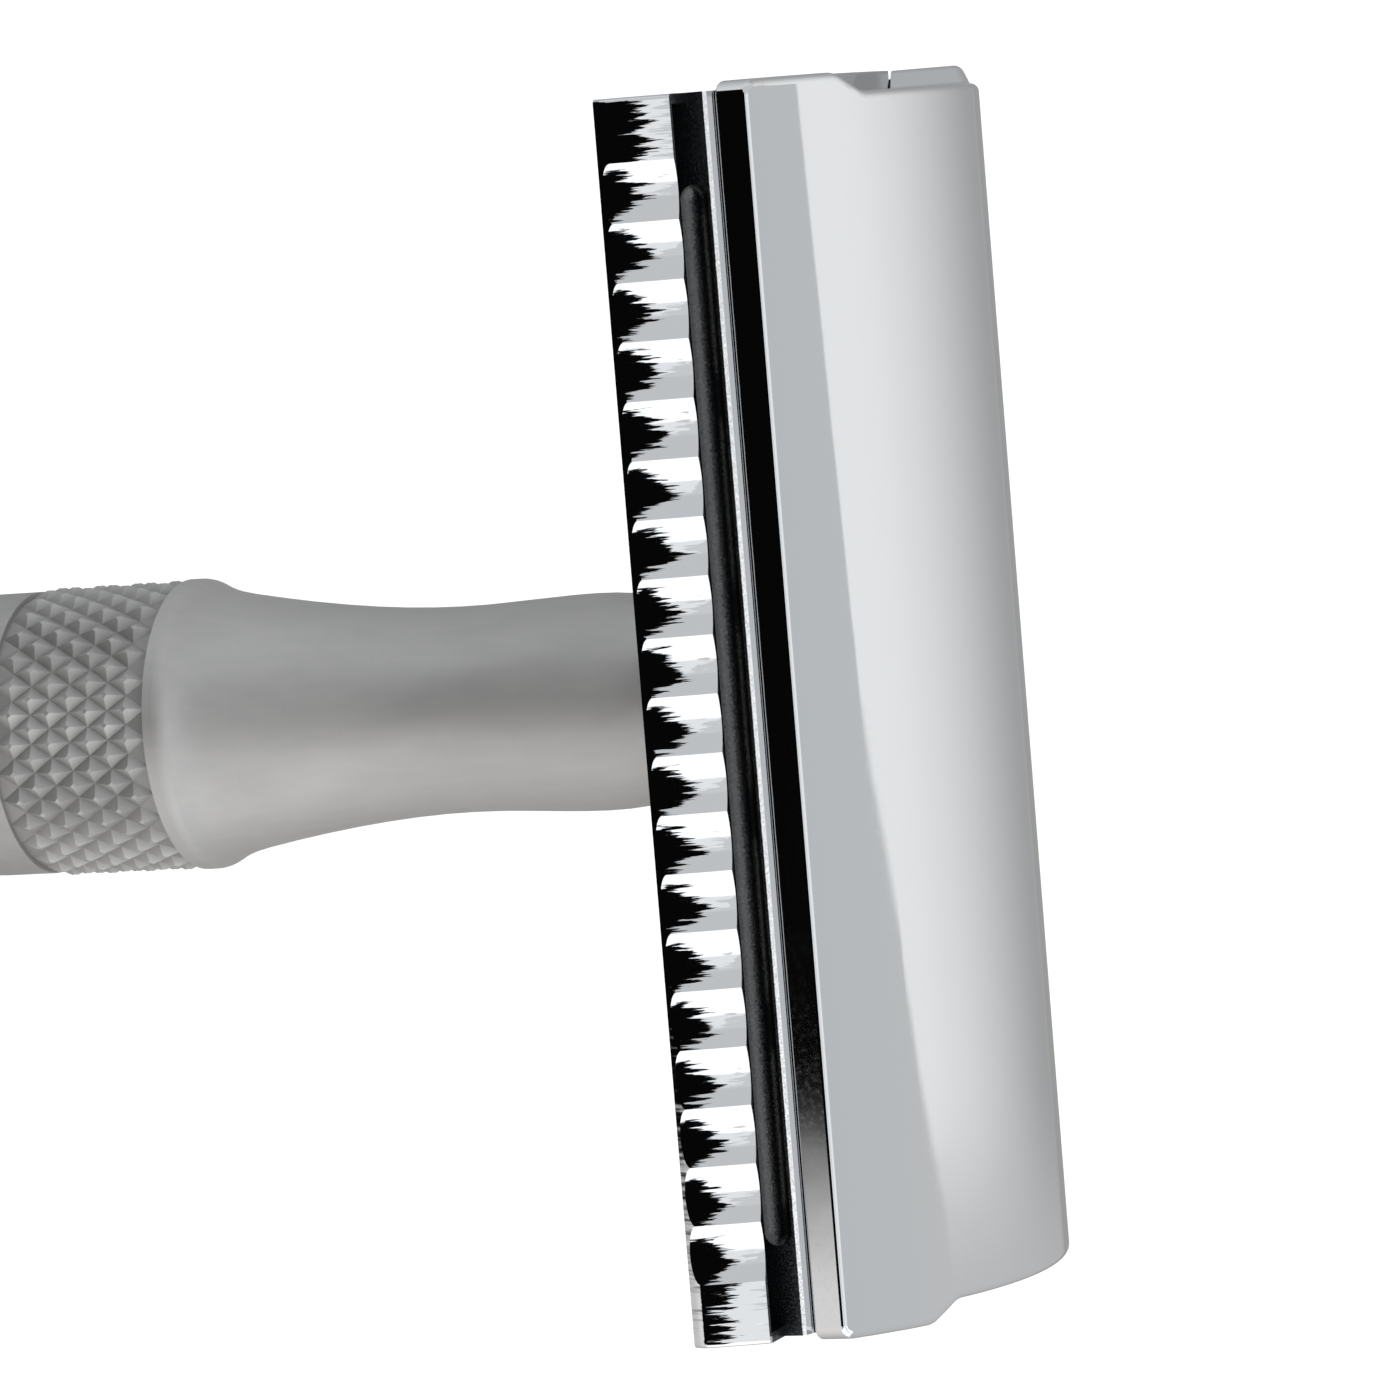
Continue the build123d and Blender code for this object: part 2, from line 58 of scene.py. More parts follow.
MM = 0.001
SLEEVE_LOW, SLEEVE_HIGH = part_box("grip_sleeve")
KNOB_LOW, KNOB_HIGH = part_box("twist_knob")
CAP_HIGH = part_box("cap")[1]
DOME_HEIGHT = 4.5 * MM
RIM_Z = CAP_HIGH.z - DOME_HEIGHT

SMOOTH_ANGLE = math.radians(24)
MERGE_DISTANCE = 0.002 * MM
FIND_DISTANCE = 0.02 * MM
TURNING_MARKS = 0.004 * MM
BLASTED_GRAIN = 0.012 * MM

# Places on the base plate's section, in millimetres. A reach is measured from the plate's middle
# plane towards a bar, and a depth down from the cap's rim.
SHELF_REACH = 10.31
SHELF_DEPTH = 1.37
EDGE_REACHES = (10.30, 10.45)
EDGE_DEPTH = 1.365
CHANNEL_REACHES = (10.05, 11.74)
CHANNEL_DEPTHS = (1.345, 3.4)
TROUGH_REACH = 10.405
BAR_REACH = 11.80


# ---------------------------------------------------------------- settings


class RazorHandleSettings(bpy.types.PropertyGroup):
    """Sizes of the knurled handle"""

    knurl_columns: bpy.props.IntProperty(
        name="Knurl columns",
        description="Columns of vertices round the handle, two for each diamond, an even number",
        default=60,
        min=12,
    )
    knurl_row: bpy.props.FloatProperty(
        name="Knurl row",
        description="Height of half a diamond",
        default=0.857 * MM,
        unit="LENGTH",
    )
    knurl_depth: bpy.props.FloatProperty(
        name="Knurl depth",
        description="Crest to valley",
        default=0.32 * MM,
        unit="LENGTH",
    )
    crest_flat: bpy.props.FloatProperty(
        name="Crest flat",
        description="How far each diamond's point is cut back along its edges",
        default=0.13 * MM,
        unit="LENGTH",
    )
    crest_radius: bpy.props.FloatProperty(
        name="Crest radius",
        description="Radius over the knurl's crests",
        default=SLEEVE_HIGH.x,
        unit="LENGTH",
    )
    ring_radius: bpy.props.FloatProperty(
        name="Ring radius",
        description="Radius of the plain rings between the bands",
        default=5.15 * MM,
        unit="LENGTH",
    )
    ring_bevel: bpy.props.FloatProperty(
        name="Ring bevel",
        description="Bevel at the sleeve's lower end",
        default=0.2 * MM,
        unit="LENGTH",
    )
    band_length: bpy.props.FloatProperty(
        name="Band length",
        description="Length of each knurled band of the sleeve",
        default=6.0 * MM,
        unit="LENGTH",
    )
    ring_length: bpy.props.FloatProperty(
        name="Ring length",
        description="Length of each plain ring of the sleeve",
        default=2.0 * MM,
        unit="LENGTH",
    )
    sleeve_bore: bpy.props.FloatProperty(
        name="Sleeve bore",
        description="Radius of the bore of the grip sleeve",
        default=4.01 * MM,
        unit="LENGTH",
    )


class RazorKnobSettings(bpy.types.PropertyGroup):
    """Sizes of the twist knob"""

    margin: bpy.props.FloatProperty(
        name="Plain margin",
        description="Plain ring at each end of the knob's knurl",
        default=1.5 * MM,
        unit="LENGTH",
    )
    bevel: bpy.props.FloatProperty(
        name="Edge bevel",
        description="Bevel at the knob's two ends",
        default=0.5 * MM,
        unit="LENGTH",
    )
    cavity_radius: bpy.props.FloatProperty(
        name="Cavity radius",
        description="Radius of the cavity under the plug",
        default=3.7 * MM,
        unit="LENGTH",
    )
    cavity_depth: bpy.props.FloatProperty(
        name="Cavity depth",
        description="Depth of the cavity under the plug",
        default=4.0 * MM,
        unit="LENGTH",
    )
    bore_radius: bpy.props.FloatProperty(
        name="Bore radius",
        description="Radius of the bore on the spindle",
        default=2.01 * MM,
        unit="LENGTH",
    )


class RazorFinishSettings(bpy.types.PropertyGroup):
    """Colours and roughness of the finishes"""

    plating_colour: bpy.props.FloatVectorProperty(
        name="Plating",
        description="Colour of the plated head",
        default=(0.86, 0.87, 0.88),
        size=3,
        subtype="COLOR",
    )
    plating_roughness: bpy.props.FloatProperty(
        name="Plating roughness",
        description="Roughness of the polished plating",
        default=0.03,
        subtype="FACTOR",
        min=0.0,
        max=1.0,
    )
    satin_colour: bpy.props.FloatVectorProperty(
        name="Satin steel",
        description="Colour of the satin neck and plug",
        default=(0.66, 0.65, 0.635),
        size=3,
        subtype="COLOR",
    )
    satin_roughness: bpy.props.FloatProperty(
        name="Satin roughness",
        description="Middle roughness of the satin steel",
        default=0.60,
        subtype="FACTOR",
        min=0.0,
        max=1.0,
    )
    knurl_colour: bpy.props.FloatVectorProperty(
        name="Knurled steel",
        description="Colour of the knurled sleeve and knob",
        default=(0.70, 0.695, 0.68),
        size=3,
        subtype="COLOR",
    )
    streak_angle: bpy.props.FloatProperty(
        name="Streak angle",
        description="How far the polishing lines of the safety bars tilt the surface",
        default=math.radians(2.6),
        subtype="ANGLE",
    )


class RazorStageSettings(bpy.types.PropertyGroup):
    """Camera, floor and light"""

    camera_place: bpy.props.FloatVectorProperty(
        name="Camera place",
        description="Where the camera stands",
        default=(-19.27 * MM, -248.84 * MM, 164.30 * MM),
        size=3,
        subtype="TRANSLATION",
        unit="LENGTH",
    )
    view_direction: bpy.props.FloatVectorProperty(
        name="View direction",
        description="Direction in which the camera looks",
        default=(0.07314, 0.93833, -0.33792),
        size=3,
        subtype="DIRECTION",
    )
    picture_right: bpy.props.FloatVectorProperty(
        name="Picture right",
        description="Direction that runs to the right in the picture, near +Z, so the razor lies across it",
        default=(0.08116, 0.33210, 0.93975),
        size=3,
        subtype="DIRECTION",
    )
    lens: bpy.props.FloatProperty(
        name="Lens",
        description="Focal length in millimetres",
        default=192.53,
    )
    sensor_width: bpy.props.FloatProperty(
        name="Sensor width",
        description="Width of the camera's sensor in millimetres",
        default=36.0,
    )
    floor_size: bpy.props.FloatProperty(
        name="Floor size",
        description="Length of the floor's sides",
        default=8.0,
        unit="LENGTH",
    )
    floor_colour: bpy.props.FloatVectorProperty(
        name="Floor",
        description="Colour of the floor",
        default=(0.90, 0.90, 0.90),
        size=3,
        subtype="COLOR",
    )
    key_strength: bpy.props.FloatProperty(
        name="Key light",
        description="Strength of the soft light from above, in watts per square metre",
        default=2.2,
    )
    key_softness: bpy.props.FloatProperty(
        name="Key softness",
        description="Angle that the soft light fills",
        default=math.radians(50),
        subtype="ANGLE",
    )
    key_lean: bpy.props.FloatVectorProperty(
        name="Key lean",
        description="Turn of the soft light from straight down",
        default=(math.radians(20), math.radians(-15), 0.0),
        size=3,
        subtype="EULER",
    )


# ---------------------------------------------------------------- node helper


class Graph:
    """A node tree, with a method for each kind of node or small group of nodes."""

    def __init__(self, tree):
        self.tree = tree
        tree.nodes.clear()

    def node(self, kind, **settings):
        """Add a node and set its properties."""
        made = self.tree.nodes.new(kind)
        for name, value in settings.items():
            setattr(made, name, value)
        return made

    def feed(self, socket, value):
        """Link an output to a socket, or set the socket to a plain value."""
        if isinstance(value, bpy.types.NodeSocket):
            self.tree.links.new(value, socket)
        else:
            socket.default_value = value

    def math(self, operation, first, second=0.0):
        """Arithmetic on two numbers."""
        made = self.node("ShaderNodeMath", operation=operation)
        self.feed(made.inputs[0], first)
        self.feed(made.inputs[1], second)
        return made.outputs[0]

    def line(self, value, slope, offset):
        """Slope times the value, plus the offset."""
        return self.math("ADD", self.math("MULTIPLY", value, slope), offset)

    def vector(self, operation, first, second=(0, 0, 0)):
        """Arithmetic on a vector and a second vector or, for SCALE, a number."""
        made = self.node("ShaderNodeVectorMath", operation=operation)
        self.feed(made.inputs[0], first)
        self.feed(made.inputs["Scale" if operation == "SCALE" else 1], second)
        return made.outputs[0]

    def scale(self, value, start, end, low, high, kind="LINEAR"):
        """Straight line from low at start to high at end, held outside."""
        made = self.node("ShaderNodeMapRange", interpolation_type=kind)
        for index, given in enumerate((value, start, end, low, high)):
            self.feed(made.inputs[index], given)
        return made.outputs[0]

    def step(self, value, start, end, low=0.0, high=1.0):
        """Smooth step from low at start to high at end."""
        return self.scale(value, start, end, low, high, "SMOOTHSTEP")

    def beyond(self, value, edge, blur):
        """Mask of the values above an edge, full from a blur past it."""
        return self.step(value, edge, edge + blur)

    def short_of(self, value, edge, blur):
        """Mask of the values below an edge, full from a blur before it."""
        return self.step(value, edge, edge - blur)

    def both(self, *masks):
        """Product of masks and numbers."""
        result = masks[0]
        for mask in masks[1:]:
            result = self.math("MULTIPLY", result, mask)
        return result

    def mix(self, factor, first, second):
        """Mix of two colours, each a colour output or three numbers."""
        made = self.node("ShaderNodeMix", data_type="RGBA")
        self.feed(made.inputs[0], factor)
        for socket, colour in ((made.inputs[6], first), (made.inputs[7], second)):
            self.feed(socket, colour if isinstance(colour, bpy.types.NodeSocket) else (*colour, 1.0))
        return made.outputs[2]

    def split(self, vector):
        """The three parts of a vector, as outputs named X, Y and Z."""
        made = self.node("ShaderNodeSeparateXYZ")
        self.feed(made.inputs[0], vector)
        return made.outputs

    def join(self, x, y, z):
        """A vector from its three parts."""
        made = self.node("ShaderNodeCombineXYZ")
        for socket, value in zip(made.inputs, (x, y, z)):
            self.feed(socket, value)
        return made.outputs[0]

    def place(self, stretch=(1, 1, 1)):
        """Object coordinates in millimetres, multiplied along each axis."""
        coordinates = self.node("ShaderNodeTexCoord").outputs["Object"]
        made = self.node("ShaderNodeMapping")
        self.feed(made.inputs["Vector"], coordinates)
        made.inputs["Scale"].default_value = [factor / MM for factor in stretch]
        return made.outputs[0]

    def noise(self, vector, scale, detail=2.0, roughness=0.5):
        """Outputs of a noise pattern; its scale is in blotches per millimetre."""
        made = self.node("ShaderNodeTexNoise")
        self.feed(made.inputs["Vector"], vector)
        made.inputs["Scale"].default_value = scale
        made.inputs["Detail"].default_value = detail
        made.inputs["Roughness"].default_value = roughness
        return made.outputs

    def turning_lines(self, scale, roughness):
        """Fine lines round the handle's axis."""
        height = self.split(self.place())["Z"]
        return self.noise(self.join(0.0, 0.0, height), scale, 3.0, roughness)["Fac"]

    def wobble(self, scale, detail, amount):
        """Small vectors that point every way, changing from place to place."""
        colour = self.noise(self.place(), scale, detail)["Color"]
        centred = self.vector("SUBTRACT", colour, (0.5, 0.5, 0.5))
        return self.vector("SCALE", centred, amount)

    def tilted_normal(self, *tilts):
        """The surface's normal with small vectors added to it."""
        normal = self.node("ShaderNodeNewGeometry").outputs["Normal"]
        for tilt in tilts:
            normal = self.vector("ADD", normal, tilt)
        return self.vector("NORMALIZE", normal)

    def bump(self, height, distance):
        """A normal that follows a height of up to the given distance."""
        made = self.node("ShaderNodeBump")
        made.inputs["Distance"].default_value = distance
        self.feed(made.inputs["Height"], height)
        return made.outputs[0]

    def surface(self, colour, roughness, normal=None, metallic=1.0):
        """Add the shader and the output of a material."""
        shader = self.node("ShaderNodeBsdfPrincipled")
        shader.inputs["Metallic"].default_value = metallic
        self.feed(shader.inputs["Base Color"], colour)
        self.feed(shader.inputs["Roughness"], roughness)
        if normal is not None:
            self.feed(shader.inputs["Normal"], normal)
        output = self.node("ShaderNodeOutputMaterial")
        self.feed(output.inputs["Surface"], shader.outputs[0])

    def background(self, colour):
        """A background of one colour or colour output."""
        made = self.node("ShaderNodeBackground")
        self.feed(made.inputs["Color"], colour)
        return made.outputs[0]


def new_material(name):
    """A node material and its graph."""
    material = bpy.data.materials.new(name)
    material.use_nodes = True
    return material, Graph(material.node_tree)


def dimmed(colour, share):
    """A colour with each of its parts multiplied by a share."""
    return [part * share for part in colour]


def dress(node, material):
    """Give a CAD node one material."""
    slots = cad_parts[node].material_slots
    for slot in slots:
        slot.material = material
    if not slots:
        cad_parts[node].data.materials.append(material)


# ---------------------------------------------------------------- materials


def plating_material(settings):
    """Bright chrome plating with the slight ripple of polished castings."""
    material, graph = new_material("bright_plating")
    ripple = graph.wobble(scale=0.55, detail=1.0, amount=0.0025)
    specks = graph.noise(graph.place(), scale=6.0)["Fac"]
    smoothest = settings.plating_roughness
    roughness = graph.scale(specks, 0.45, 0.75, smoothest, smoothest + 0.03)
    graph.surface((*settings.plating_colour, 1.0), roughness, graph.tilted_normal(ripple))
    return material


def plate_material(settings):
    """Plating of the base plate: polishing lines down the bars, painted shade in the channels and on the
    shelf's top, painted highlight on the grainy shelf edges.
    """
    material, graph = new_material("plated_bars")
    coordinates = graph.split(graph.place())
    reach = graph.math("ABSOLUTE", coordinates["Y"])
    depth = graph.math("SUBTRACT", RIM_Z / MM, coordinates["Z"])
    bar = graph.beyond(reach, BAR_REACH, 0.12)
    channel = graph.both(
        graph.beyond(reach, CHANNEL_REACHES[0], 0.05),
        graph.short_of(reach, CHANNEL_REACHES[1], 0.04),
        graph.beyond(depth, CHANNEL_DEPTHS[0], 0.02),
        graph.short_of(depth, CHANNEL_DEPTHS[1], 0.1),
    )
    # The trough is the channel's inner side, next to the shelf, painted with lighter shade than the rest of
    # the channel
    trough = graph.both(channel, graph.short_of(reach, TROUGH_REACH, 0.015))
    # The shelf's edge is grainy and carries a painted highlight, beside the shelf's top, which is greyed
    # with painted shade
    shelf_edge = graph.both(
        graph.beyond(reach, EDGE_REACHES[0], 0.02),
        graph.short_of(reach, EDGE_REACHES[1], 0.03),
        graph.short_of(depth, EDGE_DEPTH, 0.01),
    )
    shelf_top = graph.both(
        graph.short_of(reach, SHELF_REACH, 0.02), graph.short_of(depth, SHELF_DEPTH, 0.02)
    )
    # Polishing lines run down the bar, so they tilt it up or down and change quickly along X
    lines = graph.noise(graph.place((1, 0.05, 0.05)), scale=8.0, detail=4.0, roughness=0.65)["Fac"]
    lift = graph.both(graph.math("SUBTRACT", lines, 0.5), bar, 5.5 * math.tan(settings.streak_angle))
    ridges = graph.noise(graph.place((1, 0.1, 0.1)), scale=9.0)["Fac"]
    side = graph.both(graph.math("SUBTRACT", ridges, 0.5), bar, 0.05)
    amount = graph.math("ADD", graph.both(channel, 0.5), graph.both(shelf_edge, 0.9))
    grain = graph.wobble(scale=13.0, detail=2.0, amount=amount)
    normal = graph.tilted_normal(graph.join(side, 0.0, lift), grain)
    roughness = graph.step(channel, 0.0, 1.0, settings.plating_roughness, 0.30)
    roughness = graph.math("ADD", roughness, graph.both(shelf_edge, 0.25))
    # Painted shade: the plated channel is coloured near black, and its trough dark grey, standing in for
    # the shade in the recess
    shade = graph.mix(channel, settings.plating_colour, (0.060, 0.065, 0.072))
    shade = graph.mix(trough, shade, (0.11, 0.11, 0.112))
    # Painted shade greys the shelf's top, and a painted highlight whitens the shelf's edge
    shade = graph.mix(shelf_top, shade, (0.58, 0.59, 0.60))
    shade = graph.mix(shelf_edge, shade, (0.97, 0.97, 0.97))
    graph.surface(shade, roughness, normal)
    return material


def satin_material(settings):
    """Satin stainless steel with fine turning lines round the axis and faint handling marks."""
    material, graph = new_material("satin_steel")
    lines = graph.turning_lines(scale=6.0, roughness=0.65)
    cloud = graph.noise(graph.place((1, 1, 0.5)), scale=0.5, detail=3.0)["Fac"]
    marks = graph.noise(graph.place((1, 1, 0.2)), scale=2.5)["Fac"]
    middle = settings.satin_roughness
    roughness = graph.scale(cloud, 0.3, 0.7, middle - 0.05, middle + 0.05)
    roughness = graph.math("ADD", roughness, graph.scale(lines, 0.3, 0.7, -0.02, 0.02))
    marked = graph.scale(marks, 0.35, 0.7, 0.0, 0.25)
    shade = graph.mix(marked, settings.satin_colour, (0.56, 0.565, 0.575))
    graph.surface(shade, roughness, graph.bump(lines, TURNING_MARKS), metallic=0.88)
    return material


def knurl_material(settings, handle):
    """Knurled steel: brighter worn crests, valleys darkened by dirt and painted shade, grain on the flanks.
    """
    material, graph = new_material("knurled_steel")
    coordinates = graph.split(graph.place())
    squares = [graph.both(coordinates[axis], coordinates[axis]) for axis in ("X", "Y")]
    radius = graph.math("SQRT", graph.math("ADD", *squares))
    crest = handle.crest_radius / MM
    height = graph.scale(radius, crest - handle.knurl_depth / MM, crest, 0.0, 1.0)
    blotch = graph.noise(graph.place(), scale=1.3, detail=3.0)["Fac"]
    wear_and_valley_shade = graph.both(height, graph.scale(blotch, 0.3, 0.7, 0.6, 1.0))
    # The colour darkens with depth into the valleys: partly dirt, partly painted shade in the recesses; the
    # crests are lighter where worn
    shade = graph.mix(wear_and_valley_shade, (0.44, 0.435, 0.425), settings.knurl_colour)
    roughness = graph.scale(wear_and_valley_shade, 0.0, 1.0, 0.60, 0.50)
    grain = graph.noise(graph.place(), scale=14.0)["Fac"]
    graph.surface(shade, roughness, graph.bump(grain, BLASTED_GRAIN), metallic=0.88)
    return material


def turned_material(name, colour, roughness, line_scale, metallic=1.0):
    """A turned metal or plastic with fine lines round its axis."""
    material, graph = new_material(name)
    lines = graph.turning_lines(line_scale, roughness=0.6)
    cloud = graph.noise(graph.place(), scale=0.8)["Fac"]
    spread = graph.scale(cloud, 0.3, 0.7, roughness - 0.05, roughness + 0.05)
    shade = graph.mix(graph.scale(lines, 0.3, 0.7, 0.0, 0.6), colour, dimmed(colour, 0.82))
    graph.surface(shade, spread, graph.bump(lines, TURNING_MARKS), metallic)
    return material


def floor_material(settings):
    """Matt paint with a faint haze."""
    material, graph = new_material("floor_paint")
    haze = graph.noise(graph.place(), scale=0.01)["Fac"]
    hazy = graph.scale(haze, 0.3, 0.7, 0.0, 1.0)
    tone = graph.mix(hazy, settings.floor_colour, dimmed(settings.floor_colour, 0.98))
    graph.surface(tone, 0.8, metallic=0.0)
    return material


# ---------------------------------------------------------------- mesh helpers


def clear_selection():
    """Leave edit mode and deselect everything."""
    if bpy.context.object and bpy.context.object.mode != "OBJECT":
        bpy.ops.object.mode_set(mode="OBJECT")
    bpy.ops.object.select_all(action="DESELECT")


def edit_only(piece, part, wanted):
    """Enter edit mode with only the vertices or polygons selected for which wanted is true."""
    bpy.ops.object.mode_set(mode="OBJECT")
    bpy.context.tool_settings.mesh_select_mode = (part == "vertices", False, part == "polygons")
    mesh = piece.data
    for group in (mesh.vertices, mesh.edges, mesh.polygons):
        group.foreach_set("select", [False] * len(group))
    for item in getattr(mesh, part):
        item.select = wanted(item)
    bpy.ops.object.mode_set(mode="EDIT")


def turned_shell(name, outline, columns):
    """Extrude a ring of vertices along a closed outline of (radius, height) points."""
    clear_selection()
    radius, height = outline[0]
    bpy.ops.mesh.primitive_circle_add(
        vertices=columns, radius=radius, fill_type="NOTHING", location=(0, 0, height)
    )
    piece = bpy.context.object
    piece.name = name
    piece.data.name = name
    bpy.ops.object.transform_apply(location=True, rotation=True, scale=True)
    bpy.ops.object.mode_set(mode="EDIT")
    bpy.ops.mesh.select_all(action="SELECT")
    for next_radius, next_height in outline[1:] + outline[:1]:
        bpy.ops.mesh.extrude_edges_move(
            TRANSFORM_OT_translate={"value": (0, 0, next_height - height)}
        )
        share = next_radius / radius
        bpy.ops.transform.resize(value=(share, share, 1), center_override=(0, 0, next_height))
        radius, height = next_radius, next_height
    bpy.ops.mesh.select_all(action="SELECT")
    bpy.ops.mesh.remove_doubles(threshold=MERGE_DISTANCE)
    bpy.ops.mesh.normals_make_consistent(inside=False)
    bpy.ops.object.mode_set(mode="OBJECT")
    return piece


def band_rows(bottom, length, row):
    """Heights of the rings of a knurled band, evenly spaced, ends included."""
    count = 2 * round(length / row / 2)
    return [bottom + length * index / count for index in range(count + 1)]


def radius_of(vertex):
    """A vertex's distance from the handle's axis."""
    return math.hypot(vertex.co.x, vertex.co.y)


def knurl(piece, rows, settings):
    """Press a diamond lattice into the rings of vertices at the given heights."""
    crest = settings.crest_radius
    valley = crest - settings.knurl_depth

    def row_of(vertex):
        """Which ring of the band the vertex stands on, or None."""
        if abs(radius_of(vertex) - crest) > FIND_DISTANCE:
            return None
        for index, height in enumerate(rows):
            if abs(vertex.co.z - height) < FIND_DISTANCE:
                return index
        return None

    def is_crest(vertex):
        """Whether a vertex keeps its height: every second one, except in the band's end rings."""
        row = row_of(vertex)
        if row is None or row in (0, len(rows) - 1):
            return False
        column = round(math.atan2(vertex.co.y, vertex.co.x) / math.tau * settings.knurl_columns)
        return (column + row) % 2 == 0

    def is_on_band(face):
        """Whether a face is one of the band's, between crests and valleys."""
        radii = [radius_of(piece.data.vertices[index]) for index in face.vertices]
        on_skin = min(radii) > valley - FIND_DISTANCE and max(radii) > crest - FIND_DISTANCE
        return on_skin and rows[0] - FIND_DISTANCE < face.center.z < rows[-1] + FIND_DISTANCE

    band = [vertex for vertex in piece.data.vertices if row_of(vertex) is not None]
    crests = {vertex.index for vertex in band if is_crest(vertex)}
    valleys = {vertex.index for vertex in band} - crests
    edit_only(piece, "vertices", lambda vertex: vertex.index in valleys)
    share = valley / crest
    bpy.ops.transform.resize(value=(share, share, 1), center_override=(0, 0, 0))
    edit_only(piece, "polygons", is_on_band)
    bpy.ops.mesh.quads_convert_to_tris(quad_method="SHORTEST_DIAGONAL")
    edit_only(piece, "vertices", lambda vertex: vertex.index in crests)
    bpy.ops.mesh.bevel(offset=settings.crest_flat, segments=1, affect="VERTICES")
    bpy.ops.object.mode_set(mode="OBJECT")


def smooth(piece):
    """Smooth the rings and keep the knurl's edges sharp."""
    clear_selection()
    piece.select_set(True)
    bpy.context.view_layer.objects.active = piece
    bpy.ops.object.shade_smooth_by_angle(angle=SMOOTH_ANGLE)


def hand_over(piece, node, body, material):
    """Stand a finished piece in for a CAD node."""
    piece.data.materials.append(material)
    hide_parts(node)
    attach(piece, body)


# ---------------------------------------------------------------- operators


class RAZOR_OT_grip_sleeve(bpy.types.Operator):
    """Model the grip sleeve with its knurled bands"""

    bl_idname = "razor.grip_sleeve"
    bl_label = "Grip Sleeve"

    def execute(self, context):
        settings = context.scene.razor_handle
        bottom, top = SLEEVE_LOW.z, SLEEVE_HIGH.z
        pitch = settings.band_length + settings.ring_length
        bands = round((top - bottom) / pitch)
        outline = [
            (settings.sleeve_bore, bottom),
            (settings.ring_radius - settings.ring_bevel, bottom),
            (settings.ring_radius, bottom + settings.ring_bevel),
        ]
        band_list = []
        for band in range(bands):
            start = bottom + settings.ring_length + band * pitch
            rows = band_rows(start, settings.band_length, settings.knurl_row)
            band_list.append(rows)
            outline.append((settings.ring_radius, rows[0]))
            outline.extend((settings.crest_radius, height) for height in rows)
            if band < bands - 1:
                outline.append((settings.ring_radius, rows[-1]))
        outline.append((settings.sleeve_bore, top))
        piece = turned_shell("knurled_sleeve", outline, settings.knurl_columns)
        for rows in band_list:
            knurl(piece, rows, settings)
        smooth(piece)
        material = knurl_material(context.scene.razor_finish, settings)
        hand_over(piece, "grip_sleeve", "handle", material)
        return {"FINISHED"}


class RAZOR_OT_twist_knob(bpy.types.Operator):
    """Model the twist knob with its knurled band, bore and cavity"""

    bl_idname = "razor.twist_knob"
    bl_label = "Twist Knob"

    def execute(self, context):
        handle = context.scene.razor_handle
        knob = context.scene.razor_knob
        bottom, top = KNOB_LOW.z, KNOB_HIGH.z
        length = top - bottom - 2 * knob.margin
        rows = band_rows(bottom + knob.margin, length, handle.knurl_row)
        outline = [
            (knob.bore_radius, top),
            (handle.ring_radius - knob.bevel, top),
            (handle.ring_radius, top - knob.bevel),
            (handle.ring_radius, rows[-1]),
            *((handle.crest_radius, height) for height in reversed(rows)),
            (handle.ring_radius, rows[0]),
            (handle.ring_radius, bottom + knob.bevel),
            (handle.ring_radius - knob.bevel, bottom),
            (knob.cavity_radius, bottom),
            (knob.cavity_radius, bottom + knob.cavity_depth),
            (knob.bore_radius, bottom + knob.cavity_depth),
        ]
        piece = turned_shell("knurled_knob", outline, handle.knurl_columns)
        knurl(piece, rows, handle)
        smooth(piece)
        material = knurl_material(context.scene.razor_finish, handle)
        hand_over(piece, "twist_knob", "knob", material)
        return {"FINISHED"}


class RAZOR_OT_head(bpy.types.Operator):
    """Finish the plated cap and base plate"""

    bl_idname = "razor.head"
    bl_label = "Head"

    def execute(self, context):
        settings = context.scene.razor_finish
        dress("cap", plating_material(settings))
        dress("base_plate", plate_material(settings))
        return {"FINISHED"}


class RAZOR_OT_neck(bpy.types.Operator):
    """Finish the satin neck and the plug under the knob"""

    bl_idname = "razor.neck"
    bl_label = "Neck"

    def execute(self, context):
        material = satin_material(context.scene.razor_finish)
        dress("neck", material)
        dress("knob_plug", material)
        return {"FINISHED"}


class RAZOR_OT_works(bpy.types.Operator):
    """Finish the spindle, stud, pins, bushings, washers and seal"""

    bl_idname = "razor.works"
    bl_label = "Works"

    def execute(self, context):
        turned = turned_material("turned_steel", (0.60, 0.60, 0.60), roughness=0.26, line_scale=5.0)
        spring = turned_material("spring_steel", (0.42, 0.42, 0.43), roughness=0.34, line_scale=2.0)
        brass = turned_material("brass", (0.78, 0.60, 0.30), roughness=0.28, line_scale=5.0)
        plastic = {"line_scale": 2.0, "metallic": 0.0}
        nylon = turned_material("nylon", (0.85, 0.84, 0.80), roughness=0.50, **plastic)
        rubber = turned_material("rubber", (0.05, 0.05, 0.05), roughness=0.62, **plastic)
        finishes = {
            turned: ("spindle", "threaded_stud", "guide_pins", "knob_screw"),
            spring: ("retaining_clip", "disc_spring", "lock_washer"),
            brass: ("upper_bushing", "lower_bushing"),
            nylon: ("thrust_washer",),
            rubber: ("seal_ring",),
        }
        for material, nodes in finishes.items():
            for node in nodes:
                dress(node, material)
        return {"FINISHED"}


# ---------------------------------------------------------------- studio

# The studio is painted on directions: x, y and z are the parts of a unit vector that points away
# from the razor. Each zone is a mask made of steps, and each step goes from where the zone starts
# to where it is full.


def wall_colour(graph, x, y):
    """Walls: light at the camera's side, dim behind, cool at -X and warm at +X."""
    tone = graph.scale(y, -0.70, 0.85, low=0.74, high=0.34)
    tint = graph.mix(graph.step(x, -0.4, 0.4), (0.97, 1.0, 1.03), (1.025, 1.0, 0.98))
    return graph.vector("SCALE", tint, tone)


